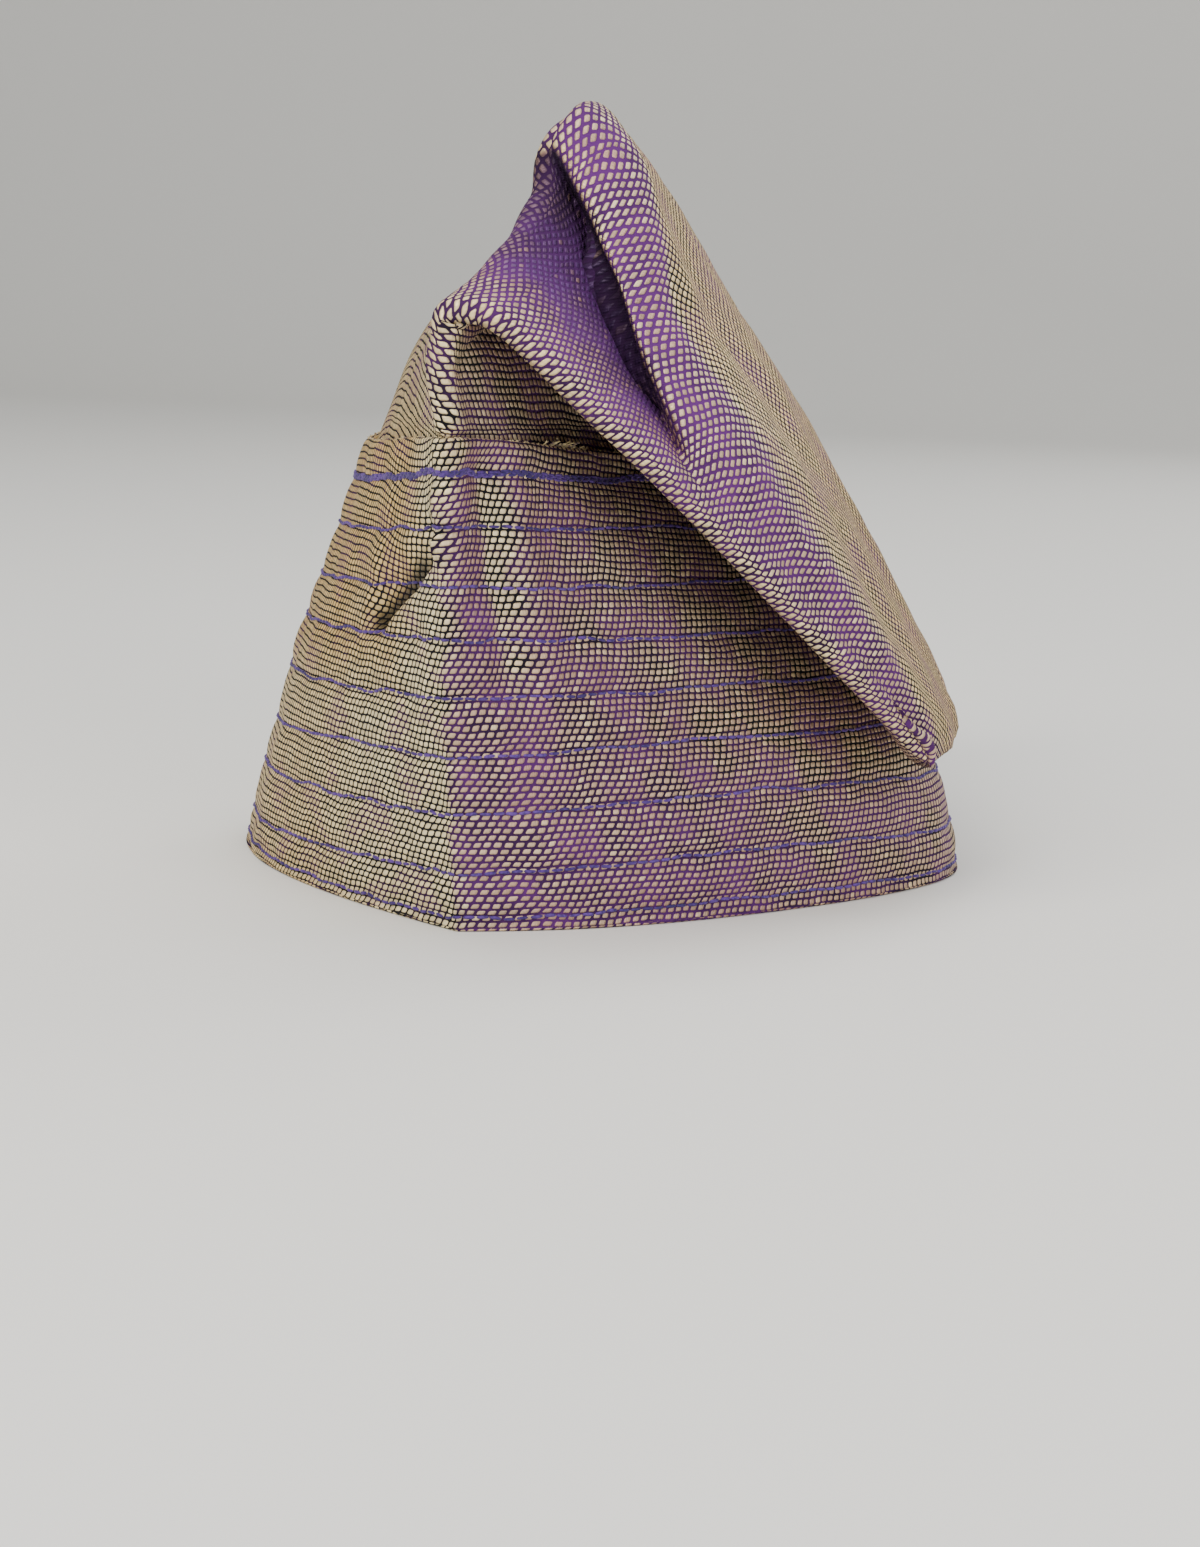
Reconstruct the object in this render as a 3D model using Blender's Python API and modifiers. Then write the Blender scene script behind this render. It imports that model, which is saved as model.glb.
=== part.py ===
"""A folded cloth cap: a hollow tube of cloth with a stitched band round its rim.

X is the wearer's left, Y the back and Z up. The rim rests on Z = 0 and the front crease is at low Y.
The tube stands up as a pointed oval, folds over a ridge and hangs down on the +X side as a flap.
Sizes in the tables are millimetres; the scene is in metres.
"""

from collections import namedtuple

import bmesh
import bpy
import numpy as np

MM = 0.001
CROWN_WALL = 1.5
BAND_WALL = 2.0
BAND_GAP = 0.4
BAND_TOP = 96.0
LEFT_DIP = 5.0
RIGHT_DIP = 8.0
CROWN_RIM = 1.0
BAND_HEIGHTS = (0.0, 2.0, 20.0, 38.0, 56.0, 64.0, 72.0, 84.0, BAND_TOP)
CLOTH_COLOUR = (0.42, 0.33, 0.27, 1.0)
BAND_COLOUR = (0.46, 0.38, 0.30, 1.0)

# The standing oval of the crown at each height: where its front and back creases are, and how far
# its left and right panels reach from the middle.
Oval = namedtuple("Oval", "height front back left right")
OVALS = (
    Oval(0, -104.0, 104.0, 76.5, 75.5),
    Oval(24, -110.0, 109.0, 70.0, 69.0),
    Oval(48, -116.0, 114.0, 62.7, 55.5),
    Oval(75, -121.5, 119.0, 51.7, 35.0),
    Oval(96, -123.5, 122.5, 43.0, 20.0),
)

# The places along the tube past the top of the band.
PLACES = ("below", "neck", "ridge", "turn", "upper", "middle", "lower", "seam")

# The folds of the outer side of the tube, from the front crease round the wearer's right to the back
# crease. Each has its share of the way round the rim, then (x, y, z) at each of the places.
Fold = namedtuple("Fold", ("name", "share") + PLACES)
OUTER_FOLDS = (
    Fold("edge", 0.00, (-1, -126, 108), (-1, -126, 114), (0, -126, 118), (7, -125, 118), (24, -115, 102),
         (38, -104, 87), (60, -79, 59), (80, -50, 32)),
    Fold("front", 0.09, (-8, -107, 113), (1, -110, 118), (6, -112, 125), (12, -111, 122), (27, -106, 105),
         (41, -101, 89), (62, -77, 61), (81, -49, 32)),
    Fold("valley", 0.17, (-13, -91, 115), (4, -87, 128), (8, -84, 142), (13, -78, 134), (26, -77, 107),
         (41, -98, 90), (63, -75, 62), (82, -48, 31)),
    Fold("lip", 0.22, (-17, -80, 116), (2, -80, 134), (6, -81, 150), (12, -83, 143), (29, -93, 112),
         (42, -97, 92), (64, -73, 63), (82, -47, 31)),
    Fold("strip", 0.29, (-21, -66, 117), (0, -68, 138), (9, -77, 158), (17, -79, 150), (32, -90, 114),
         (47, -91, 95), (66, -71, 64), (82, -46, 32)),
    Fold("shoulder", 0.37, (-26, -50, 117), (-5, -52, 138), (8, -62, 160), (19, -68, 152), (34, -82, 118),
         (49, -82, 97), (67, -66, 66), (83, -43, 33)),
    Fold("side", 0.50, (-30, -22, 117), (-12, -24, 138), (1, -28, 156), (10, -28, 151), (29, -30, 123),
         (45, -25, 99), (66, -19, 62), (83, -22, 32)),
    Fold("rear", 0.74, (-26, 50, 112), (-15, 50, 126), (-5, 50, 137), (2, 50, 133), (15, 50, 114),
         (32, 50, 89), (52, 50, 58), (63, 50, 36)),
    Fold("back", 1.00, (-3, 126, 99), (-3, 127, 102), (-3, 127, 105), (1, 128, 103), (9, 127, 92),
         (15, 125, 80), (25, 119, 58), (33, 112, 38)),
)

# The folds of the inner side, which stands as the right panel and then turns down inside the flap.
INNER_FOLDS = (
    OUTER_FOLDS[0],
    Fold("under", 0.25, (10, -84, 116), (7, -83, 127), (5, -82, 133), (8, -85, 130), (22, -88, 106),
         (38, -78, 86), (59, -57, 59), (76, -42, 30)),
    Fold("inner_side", 0.50, (15, -28, 119), (10, -28, 134), (6, -28, 144), (10, -29, 140), (24, -30, 116),
         (39, -25, 94), (60, -19, 60), (76, -24, 30)),
    Fold("inner_rear", 0.74, (8, 50, 111), (3, 50, 121), (0, 50, 128), (3, 50, 125), (13, 50, 110),
         (28, 50, 87), (48, 50, 55), (58, 50, 34)),
    OUTER_FOLDS[-1],
)

# The flap stays open by at least this much between its two sides, with a round end at each crease.
FLAP_ROOM = 5.6

# Dents pressed into the standing cloth. Each is a soft groove between two places on a panel: how far from
# the front crease and how high it starts and ends, its depth, and its half width.
Dent = namedtuple("Dent", "side start_along start_height end_along end_height depth width")
DENTS = (
    Dent(-1, 2.0, 69.0, 27.0, 52.0, 3.0, 6.0),
    Dent(+1, 9.0, 88.0, 12.0, 52.0, 1.6, 7.0),
)

# How finely the loft is cut: the shares of the way across one side, and the steps between two places.
SHARES_ACROSS = (
    (0, 0.05, 0.09, 0.13, 0.17, 0.21, 0.25, 0.29, 0.33, 0.37, 0.41)
    + (0.46, 0.51, 0.57, 0.63, 0.69, 0.75, 0.81, 0.86, 0.91, 0.95, 1)
)
STEPS_BETWEEN = 3

# The flap hangs out on one side, so this centres the whole cap's footprint on the origin.
FOOTPRINT_SHIFT = -2.4


def oval_point(oval, share, side):
    """Returns the point of a standing oval at a share of the way from the front crease to the back."""
    angle = np.pi * share
    middle = (oval.front + oval.back) / 2
    half_length = (oval.back - oval.front) / 2
    breadth = oval.right if side > 0 else -oval.left
    return np.array([breadth * np.sin(angle) ** 2, middle - half_length * np.cos(angle), oval.height])


def net_of(folds, side):
    """Returns the net of points of one side of the tube: a row for each place, from the rim to the seam."""
    rows = [[oval_point(oval, fold.share, side) for fold in folds] for oval in OVALS]
    rows += [[getattr(fold, place) for fold in folds] for place in PLACES]
    return np.array(rows, float)


def knots_of(net, axis):
    """Returns where each row or column lies, from 0 to 1, by the square root of the chords."""
    chords = np.sqrt(np.linalg.norm(np.diff(net, axis=axis), axis=-1)).mean(axis=1 - axis)
    places = np.concatenate([[0.0], np.cumsum(chords)])
    return places / places[-1]


def smooth_through(knots, points, wanted):
    """Returns a smooth curve through the points (first axis) at the wanted places, with parabolic ends."""
    column = (-1,) + (1,) * (points.ndim - 1)
    steps = np.diff(knots).reshape(column)
    slopes = np.diff(points, axis=0) / steps
    tangents = np.zeros_like(points)
    tangents[1:-1] = (slopes[:-1] * steps[1:] + slopes[1:] * steps[:-1]) / (steps[1:] + steps[:-1])
    tangents[0] = 2 * slopes[0] - tangents[1]
    tangents[-1] = 2 * slopes[-1] - tangents[-2]
    first = np.clip(np.searchsorted(knots, wanted) - 1, 0, len(knots) - 2)
    step = np.diff(knots)[first].reshape(column)
    t = (wanted - knots[first]).reshape(column) / step
    return (
        (2 * t**3 - 3 * t**2 + 1) * points[first]
        + (t**3 - 2 * t**2 + t) * step * tangents[first]
        + (3 * t**2 - 2 * t**3) * points[first + 1]
        + (t**3 - t**2) * step * tangents[first + 1]
    )


def open_flap(outer, inner):
    """Keeps the two sides of the folded cloth apart, with a narrow end at the front and back creases."""
    ends = np.linalg.norm(outer - outer[:, :1], axis=-1)
    ends = np.minimum(ends, np.linalg.norm(outer - outer[:, -1:], axis=-1))
    radius = FLAP_ROOM / 2
    room = np.sqrt(np.maximum(radius**2 - (radius - np.minimum(ends, radius)) ** 2, 0.0))
    middle = (outer + inner) / 2
    half = (outer - inner) / 2
    normal = np.cross(np.gradient(middle, axis=0), np.gradient(middle, axis=1))
    normal /= np.linalg.norm(normal, axis=-1, keepdims=True)
    normal *= np.sign((half * normal).sum())
    depth = (half * normal).sum(axis=-1)
    half += np.maximum(room - depth, 0.0)[..., None] * normal
    return middle + half, middle - half


def press_dents(points, side):
    """Presses the dents into one standing side."""
    inward = np.array([-side, 0.25, 0.0])
    crease = points[:, :1]
    along = np.linalg.norm((points - crease)[..., :2], axis=-1)
    for dent in DENTS:
        if dent.side != side:
            continue
        start = np.array([dent.start_along, dent.start_height])
        run = np.array([dent.end_along, dent.end_height]) - start
        place = np.stack([along, points[..., 2]], axis=-1) - start
        share = np.clip(place @ run / (run @ run), 0.0, 1.0)
        away = np.linalg.norm(place - share[..., None] * run, axis=-1)
        depth = dent.depth * np.exp(-((away / dent.width) ** 2))
        depth *= np.minimum(along / 4.0, 1.0)
        points = points + depth[..., None] * inward
    return points


def tube_sides(rows, across):
    """Returns both sides of the tube at the wanted rows, each at the shares across it."""
    outer_net = net_of(OUTER_FOLDS, -1)
    inner_net = net_of(INNER_FOLDS, +1)
    sides = []
    for net, side in ((outer_net, -1), (inner_net, +1)):
        lengthwise = smooth_through(row_knots(), net, rows)
        crosswise = smooth_through(knots_of(net, 1), lengthwise.swapaxes(0, 1), across)
        sides.append(crosswise.swapaxes(0, 1))
    return sides


def row_knots():
    """Returns where each row of the net lies along the tube, the same for both sides."""
    both = np.concatenate([net_of(OUTER_FOLDS, -1), net_of(INNER_FOLDS, +1)], axis=1)
    return knots_of(both, 0)


def rows_between(knots, first, last):
    """Returns the rows of the loft from one place to another, with even steps between them."""
    rows = [knots[first]]
    for low, high in zip(knots[first:last], knots[first + 1 : last + 1]):
        rows += list(np.linspace(low, high, STEPS_BETWEEN + 1)[1:])
    return np.array(rows)


def ring_of(outer, inner):
    """Joins both sides into rings: out along the outer side and back along the inner."""
    return np.concatenate([outer, inner[:, -2:0:-1]], axis=1)


def add_loft(name, rings, closed_end, collection):
    """Adds a mesh object lofted through the rings, closed across its last ring if wanted."""
    form = bmesh.new()
    grid = [[form.verts.new(point * MM) for point in ring] for ring in rings]
    around = len(grid[0])
    for lower, upper in zip(grid, grid[1:]):
        for i in range(around):
            j = (i + 1) % around
            form.faces.new((lower[i], upper[i], upper[j], lower[j]))
    if closed_end:
        end = grid[-1]
        for i in range(around // 2):
            corners = (end[i], end[-i], end[-i - 1], end[i + 1])
            form.faces.new(tuple(dict.fromkeys(corners)))
    bmesh.ops.recalc_face_normals(form, faces=form.faces)
    mesh = bpy.data.meshes.new(name)
    form.to_mesh(mesh)
    form.free()
    mesh.shade_smooth()
    obj = bpy.data.objects.new(name, mesh)
    collection.objects.link(obj)
    return obj


def add_wall(obj, thickness, outward):
    """Gives the lofted surface its cloth thickness."""
    wall = obj.modifiers.new("Wall", "SOLIDIFY")
    wall.thickness = thickness * MM
    wall.offset = 1.0 if outward else -1.0
    wall.use_even_offset = outward


def add_finish(obj, colour, roughness, metallic):
    """Gives the object its own cloth material."""
    material = bpy.data.materials.new(obj.name + "_cloth")
    material.use_nodes = True
    shader = material.node_tree.nodes["Principled BSDF"]
    shader.inputs["Base Color"].default_value = colour
    shader.inputs["Roughness"].default_value = roughness
    shader.inputs["Metallic"].default_value = metallic
    obj.data.materials.append(material)


def build_crown(collection):
    """The closed tube of cloth, from the rim over the ridge to the seam of the flap."""
    folded_rows = rows_between(row_knots(), len(OVALS) - 1, len(OVALS) + len(PLACES) - 1)
    outer, inner = tube_sides(folded_rows[1:], np.array(SHARES_ACROSS))
    outer, inner = open_flap(outer, inner)
    rings = np.concatenate([standing_rings(), ring_of(outer, inner)])
    rings[0, :, 2] = CROWN_RIM
    crown = add_loft("crown", rings, True, collection)
    add_wall(crown, CROWN_WALL, False)
    add_finish(crown, CLOTH_COLOUR, 0.5, 0.4)


def standing_rings():
    """Returns the rings of the crown's standing cloth behind the band, one at each of the band's heights."""
    heights = [oval.height for oval in OVALS]
    rows = np.interp(BAND_HEIGHTS, heights, row_knots()[: len(OVALS)])
    outer, inner = tube_sides(rows, np.array(SHARES_ACROSS))
    outer[..., 2] = inner[..., 2] = np.array(BAND_HEIGHTS)[:, None]
    rings = ring_of(press_dents(outer, -1), press_dents(inner, +1))
    rings[1, :, :2] = rings[0, :, :2]
    return rings


def build_band(collection):
    """The stitched cuff around the rim, standing on its flat lower edge. Its top edge dips at the sides."""
    rings = moved_out(standing_rings(), BAND_GAP)
    turn = np.linspace(0.0, 2 * np.pi, len(rings[0]), endpoint=False)
    dip = np.where(turn < np.pi, LEFT_DIP, RIGHT_DIP) * np.sin(turn) ** 2
    kept = 1.0 - dip / (BAND_HEIGHTS[-1] - BAND_HEIGHTS[-2])
    rings[-1] = rings[-2] + kept[:, None] * (rings[-1] - rings[-2])
    band = add_loft("band", rings, False, collection)
    add_wall(band, BAND_WALL, True)
    add_finish(band, BAND_COLOUR, 0.5, 0.4)


def moved_out(rings, distance):
    """Moves the rings outward, level, by an even distance."""
    before = np.roll(rings, 1, axis=1)
    after = np.roll(rings, -1, axis=1)
    moved = rings.copy()
    sides = []
    for first, second in ((before, rings), (rings, after)):
        run = (second - first)[..., :2]
        run /= np.linalg.norm(run, axis=-1, keepdims=True)
        sides.append(np.stack([run[..., 1], -run[..., 0]], axis=-1))
    mean = sides[0] + sides[1]
    mean /= np.linalg.norm(mean, axis=-1, keepdims=True)
    even = distance / (mean * sides[0]).sum(axis=-1, keepdims=True)
    centre = rings.mean(axis=1, keepdims=True)[..., :2]
    turn = np.sign(((rings[..., :2] - centre) * mean).sum(axis=-1, keepdims=True).mean())
    moved[..., :2] += turn * even * mean
    return moved


def main():
    for obj in list(bpy.data.objects):
        bpy.data.objects.remove(obj)
    collection = bpy.data.collections.new("gobi_cap")
    bpy.context.scene.collection.children.link(collection)
    build_crown(collection)
    build_band(collection)
    for piece in collection.objects:
        piece.location.x = FOOTPRINT_SHIFT * MM


main()
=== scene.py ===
"""Dresses the folded cloth cap: shot cloth in a woven grid, nine rows of stitching and a raw top edge.

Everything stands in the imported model's frame, in metres: X is the wearer's left, Y the back and Z up, and
the rim rests on Z = 0. The tables of folds are in millimetres, before the shift that centres the footprint.
"""

import logging
from dataclasses import dataclass
from enum import Enum
from functools import partial
from typing import NamedTuple

import bpy
import numpy as np
from mathutils import Matrix, Vector

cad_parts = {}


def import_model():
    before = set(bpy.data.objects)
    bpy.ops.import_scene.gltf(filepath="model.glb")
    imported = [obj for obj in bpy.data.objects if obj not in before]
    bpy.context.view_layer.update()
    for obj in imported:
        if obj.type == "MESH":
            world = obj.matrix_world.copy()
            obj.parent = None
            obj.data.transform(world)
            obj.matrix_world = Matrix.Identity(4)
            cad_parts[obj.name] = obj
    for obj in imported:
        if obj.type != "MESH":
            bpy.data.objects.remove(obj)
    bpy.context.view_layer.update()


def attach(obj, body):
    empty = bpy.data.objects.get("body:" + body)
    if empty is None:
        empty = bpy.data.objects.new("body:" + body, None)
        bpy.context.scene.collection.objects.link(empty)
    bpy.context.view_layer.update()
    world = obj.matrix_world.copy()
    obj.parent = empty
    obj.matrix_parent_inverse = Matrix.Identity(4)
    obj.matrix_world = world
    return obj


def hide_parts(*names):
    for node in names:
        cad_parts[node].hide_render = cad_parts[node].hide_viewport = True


LOG = logging.getLogger("cap")
MM = 0.001
IMAGE_WIDTH = 1200
# How far the cap's footprint was moved along X to centre it, in millimetres.
FOOTPRINT_SHIFT = -2.4
# How far the strip of cloth reaches to each side of the front crease, in millimetres, for its unevenness.
HALF_GIRTH = 280.0
SMALLEST = 1e-9

Point = tuple[float, float, float]
Socket = bpy.types.NodeSocket


class Side(Enum):
    """The two sides of the flattened tube of cloth."""

    OUTER = -1
    INNER = 1


class Oval(NamedTuple):
    """One standing section of the crown: its creases and how far its panels reach, in millimetres."""

    height: float
    front: float
    back: float
    left: float
    right: float


class Fold(NamedTuple):
    """One fold down the tube: its share of the way round, then its place at each step past the band."""

    name: str
    share: float
    below: Point
    neck: Point
    ridge: Point
    turn: Point
    upper: Point
    middle: Point
    lower: Point
    seam: Point


class Dent(NamedTuple):
    """A soft groove on a standing panel, by distance from the front crease and height, in millimetres."""

    side: Side
    start: tuple[float, float]
    end: tuple[float, float]
    depth: float
    width: float


class RowHeights(NamedTuple):
    """How high a row of stitches lies on the band at five stations, in millimetres."""

    left: float
    left_front: float
    crease: float
    right_front: float
    right: float


class Tone(NamedTuple):
    """How the cloth shows at a place: how mauve and yellow its floats, how violet its gaps, and how deep its
    painted shade.
    """

    place: float
    mauve: float
    yellow: float
    violet: float
    # Painted shade: how much the cloth's colour is darkened where shade falls, in creases and under the flap.
    depth: float = 0.0


class ToneRow(NamedTuple):
    """The tones round the cap at one station down the cloth."""

    station: float
    tones: tuple[Tone, ...]


class Swell(NamedTuple):
    """A slight unevenness of the cloth: its depth and length in millimetres, and its seed."""

    depth: float
    length: float
    seed: int


class Lamp(NamedTuple):
    """A soft square light: where it stands and its side in metres, its power in watts and its colour."""

    name: str
    place: Point
    side: float
    watts: float
    colour: str


def linear(hex_colour: str) -> tuple[float, float, float, float]:
    """Turns an sRGB hex colour into linear RGBA.

    Args:
        hex_colour: Six hex digits after a hash sign.

    Returns:
        Linear red, green and blue, and an alpha of one.
    """
    channels = [int(hex_colour[i : i + 2], 16) / 255 for i in (1, 3, 5)]
    red, green, blue = [c / 12.92 if c <= 0.04045 else ((c + 0.055) / 1.055) ** 2.4 for c in channels]
    return red, green, blue, 1.0


def set_inputs(node: bpy.types.Node, inputs: dict[str | int, object] | tuple) -> None:
    """Gives a node's inputs their values and links.

    Args:
        node: The node.
        inputs: A value or a socket to link for each input, named or in the node's own order.
    """
    for socket, value in inputs.items() if isinstance(inputs, dict) else enumerate(inputs):
        if isinstance(value, Socket):
            node.id_data.links.new(value, node.inputs[socket])
        else:
            node.inputs[socket].default_value = value


def add_node(
    tree: bpy.types.NodeTree, kind: str, inputs: dict | tuple = (), output: str | int = 0, **settings: object
) -> Socket:
    """Adds a node with its settings, values and links.

    Args:
        tree: The material's node tree.
        kind: The node's type, without the words that all shader nodes share.
        inputs: A value or a socket to link for each input.
        output: Which of the node's outputs is wanted.
        settings: The node's own properties.

    Returns:
        The wanted output.
    """
    node = tree.nodes.new("ShaderNode" + kind)
    for name, value in settings.items():
        setattr(node, name, value)
    set_inputs(node, inputs)
    return node.outputs[output]


def new_material(name: str) -> tuple[bpy.types.Material, partial, bpy.types.Node]:
    """Returns a new material, what adds a node to it, and its shader."""
    material = bpy.data.materials.new(name)
    material.use_nodes = True
    tree = material.node_tree
    return material, partial(add_node, tree), tree.nodes["Principled BSDF"]


def add_object(name: str, data: bpy.types.ID) -> bpy.types.Object:
    """Returns a new object of the scene."""
    obj = bpy.data.objects.new(name, data)
    bpy.context.scene.collection.objects.link(obj)
    return obj


def add_mesh(name: str, points: list, faces: list) -> bpy.types.Object:
    """Returns a new smooth mesh object of the scene."""
    mesh = bpy.data.meshes.new(name)
    mesh.from_pydata(points, [], faces)
    mesh.shade_smooth()
    return add_object(name, mesh)


def placed(points: np.ndarray) -> list:
    """Returns points in millimetres as a list in metres, with the cap's footprint centred."""
    return ((points.reshape(-1, 3) + np.array([FOOTPRINT_SHIFT, 0.0, 0.0])) * MM).tolist()


def waves(first: np.ndarray, second: np.ndarray, length: float, seed: int) -> np.ndarray:
    """Returns smooth, repeatable unevenness between about -1 and 1 over two coordinates.

    Args:
        first: The first coordinate, in millimetres.
        second: The second coordinate, in millimetres.
        length: The typical length of a wave, in millimetres.
        seed: Which unevenness is wanted.

    Returns:
        A value for each place.
    """
    random = np.random.default_rng(seed)
    total = np.zeros(np.broadcast(first, second).shape)
    count = 7
    for _ in range(count):
        angle = random.uniform(0, 2 * np.pi)
        rate = 2 * np.pi / (length * random.uniform(0.7, 1.6))
        phase = random.uniform(0, 2 * np.pi)
        total += np.sin(rate * (np.cos(angle) * first + np.sin(angle) * second) + phase)
    return total / np.sqrt(count)


def unevenness(first: np.ndarray, second: np.ndarray, swells: tuple[Swell, ...]) -> np.ndarray:
    """Returns the sum of some swells over two coordinates in millimetres."""
    return sum(swell.depth * waves(first, second, swell.length, swell.seed) for swell in swells)


def unit(vectors: np.ndarray) -> np.ndarray:
    """Returns the vectors of the last axis at a length of one."""
    return vectors / np.maximum(np.linalg.norm(vectors, axis=-1, keepdims=True), SMALLEST)


def steps(points: np.ndarray, axis: int) -> np.ndarray:
    """Returns how far each point lies from the next one along an axis."""
    return np.linalg.norm(np.diff(points, axis=axis), axis=-1)


def line_lengths(line: np.ndarray) -> np.ndarray:
    """Returns how far along a line each of its points lies."""
    return np.concatenate([[0.0], np.cumsum(steps(line, 0))])


def along_line(wanted: np.ndarray, lengths: np.ndarray, values: np.ndarray) -> np.ndarray:
    """Returns a line's values at the wanted lengths along it."""
    return np.stack([np.interp(wanted, lengths, column) for column in values.T], axis=-1)


def square_to(points: np.ndarray) -> np.ndarray:
    """Returns the direction square to a net of points at each of them."""
    return unit(np.cross(np.gradient(points, axis=0), np.gradient(points, axis=1)))


def beside_line(places: np.ndarray, start: tuple, end: tuple) -> tuple[np.ndarray, np.ndarray]:
    """Finds the nearest point of a short line to each place.

    Args:
        places: The places, with two coordinates.
        start: Where the line starts.
        end: Where the line ends.

    Returns:
        How far along the line that point is, from 0 to 1, and how far away.
    """
    run = np.subtract(end, start)
    places = places - np.array(start)
    share = np.clip(places @ run / (run @ run), 0.0, 1.0)
    return share, np.linalg.norm(places - share[..., None] * run, axis=-1)


def outward(points: np.ndarray) -> np.ndarray:
    """Returns the level direction that faces out of each closed strip.

    Args:
        points: Strips whose last point repeats their first.

    Returns:
        A direction for each point, longer at a crease so that both of its sides move out evenly.
    """
    ring = points[:, :-1]
    sides = []
    for first, second in ((np.roll(ring, 1, axis=1), ring), (ring, np.roll(ring, -1, axis=1))):
        run = unit((second - first)[..., :2])
        sides.append(np.stack([-run[..., 1], run[..., 0]], axis=-1))
    mean = unit(sides[0] + sides[1])
    mean /= (mean * sides[0]).sum(axis=-1, keepdims=True)
    centre = ring.mean(axis=1, keepdims=True)[..., :2]
    mean *= np.sign(((ring[..., :2] - centre) * mean).sum(axis=-1).mean())
    level = np.concatenate([mean, np.zeros_like(mean[..., :1])], axis=-1)
    return np.concatenate([level, level[:, :1]], axis=1)


def evened(values: np.ndarray, axis: int, reach: int) -> np.ndarray:
    """Evens values out along an axis, so that the weave runs on smoothly where the cloth creases.

    Args:
        values: The values by row and place.
        axis: The axis to even out along.
        reach: How many neighbours on each side count.

    Returns:
        The evened values.
    """
    weights = np.exp(-np.linspace(-2.0, 2.0, 2 * reach + 1) ** 2)
    weights /= weights.sum()
    widths = [(reach, reach) if i == axis else (0, 0) for i in range(2)]
    wide = np.pad(values, widths, mode="reflect", reflect_type="odd")
    return np.apply_along_axis(np.convolve, axis, wide, weights, "valid")


def cloth_lengths(points: np.ndarray, start: int) -> np.ndarray:
    """Returns how far along the cloth each point lies, round the tube and down it.

    Args:
        points: The cloth's points by row and place round it.
        start: The place round it that counts as nought.

    Returns:
        Two lengths for each point, in millimetres.
    """
    around = np.zeros(points.shape[:2])
    around[:, 1:] = np.cumsum(steps(points, 1), axis=1)
    around -= around[:, start : start + 1]
    down = np.zeros(points.shape[:2])
    down[1:] = np.cumsum(steps(points, 0), axis=0)
    return np.stack([evened(around, 0, 14), evened(down, 1, 10)], axis=-1)


def add_cloth(
    name: str, points: np.ndarray, weave: np.ndarray, tones: np.ndarray, loop: bool
) -> bpy.types.Object:
    """Adds closed strips of cloth as one mesh, with the weave's own lengths as its UV map.

    Args:
        name: The object's name.
        points: Points in millimetres by row and place round; the last place repeats the first.
        weave: The weave's two lengths in millimetres at each point.
        tones: The cloth's mauve, yellow and violet, and the depth of its painted shade, at each point.
        loop: Whether the last row joins the first; if not, the last row is sewn shut.

    Returns:
        The new object.
    """
    rows, places = points.shape[0], points.shape[1] - 1
    row = np.arange(rows if loop else rows - 1)[:, None]
    place = np.arange(places)[None, :]
    above = (row + 1) % rows * places
    beside = (place + 1) % places
    low, high = row * (places + 1) + place, (row + 1) * (places + 1) + place
    faces = np.stack([row * places + place, above + place, above + beside, row * places + beside], -1)
    faces = faces.reshape(-1, 4).tolist()
    corners = np.stack([low, high, high + 1, low + 1], -1).reshape(-1).tolist()
    if not loop:
        last, wide = (rows - 1) * places, (rows - 1) * (places + 1)
        for i in range(places // 2):
            ends = (i, i + 1, places - i - 1, places - i)
            faces.append(list(dict.fromkeys(last + end % places for end in ends)))
            corners += [wide + end for end in ends][: len(faces[-1])]
    cloth = add_mesh(name, placed(points[:, :-1]), faces)
    layer = cloth.data.uv_layers.new(name="weave")
    layer.data.foreach_set("uv", weave.reshape(-1, 2)[corners].astype(np.float32).ravel())
    # The attributes carry the tones that paint the shot cloth's sheen, and the depth of its painted shade.
    for i, tone in enumerate(Tone._fields[1:]):
        attribute = cloth.data.attributes.new(tone, "FLOAT", "POINT")
        attribute.data.foreach_set("value", tones[:, :-1, i].astype(np.float32).ravel())
    # Strips that run back, left, front and right come out facing inward.
    cloth.data.flip_normals()
    return cloth


def blend_tones(rows: tuple[ToneRow, ...], stations: np.ndarray, places: np.ndarray) -> np.ndarray:
    """Blends the tones of the cloth from its table.

    Args:
        rows: The tones at each station down the cloth.
        stations: The station of each point.
        places: The place round the cap of each point.

    Returns:
        The mauve, yellow and violet of each point, and the depth of its painted shade.
    """
    marks = [row.station for row in rows]
    total = np.zeros(np.broadcast(stations, places).shape + (len(Tone._fields) - 1,))
    for i, row in enumerate(rows):
        stops, *columns = zip(*row.tones)
        table = np.stack([np.interp(places, stops, column) for column in columns], axis=-1)
        total += np.interp(stations, marks, np.eye(len(marks))[i])[..., None] * table
    return total


def tube(centre: np.ndarray, way: np.ndarray, radius: np.ndarray | float, sides: int) -> np.ndarray:
    """Sweeps round tubes along lines.

    Args:
        centre: Points by line and station.
        way: A direction across each line, at each of its stations.
        radius: The radius, or radii that fit points by line, station and side.
        sides: How many sides a tube has.

    Returns:
        Points by line, station and side.
    """
    run = unit(np.gradient(centre, axis=1))
    across = unit(np.cross(run, way))
    upright = np.cross(across, run)
    angle = np.linspace(0.0, 2 * np.pi, sides, endpoint=False)[:, None]
    ring = np.cos(angle) * upright[:, :, None, :] + np.sin(angle) * across[:, :, None, :]
    return centre[:, :, None, :] + radius * ring


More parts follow.
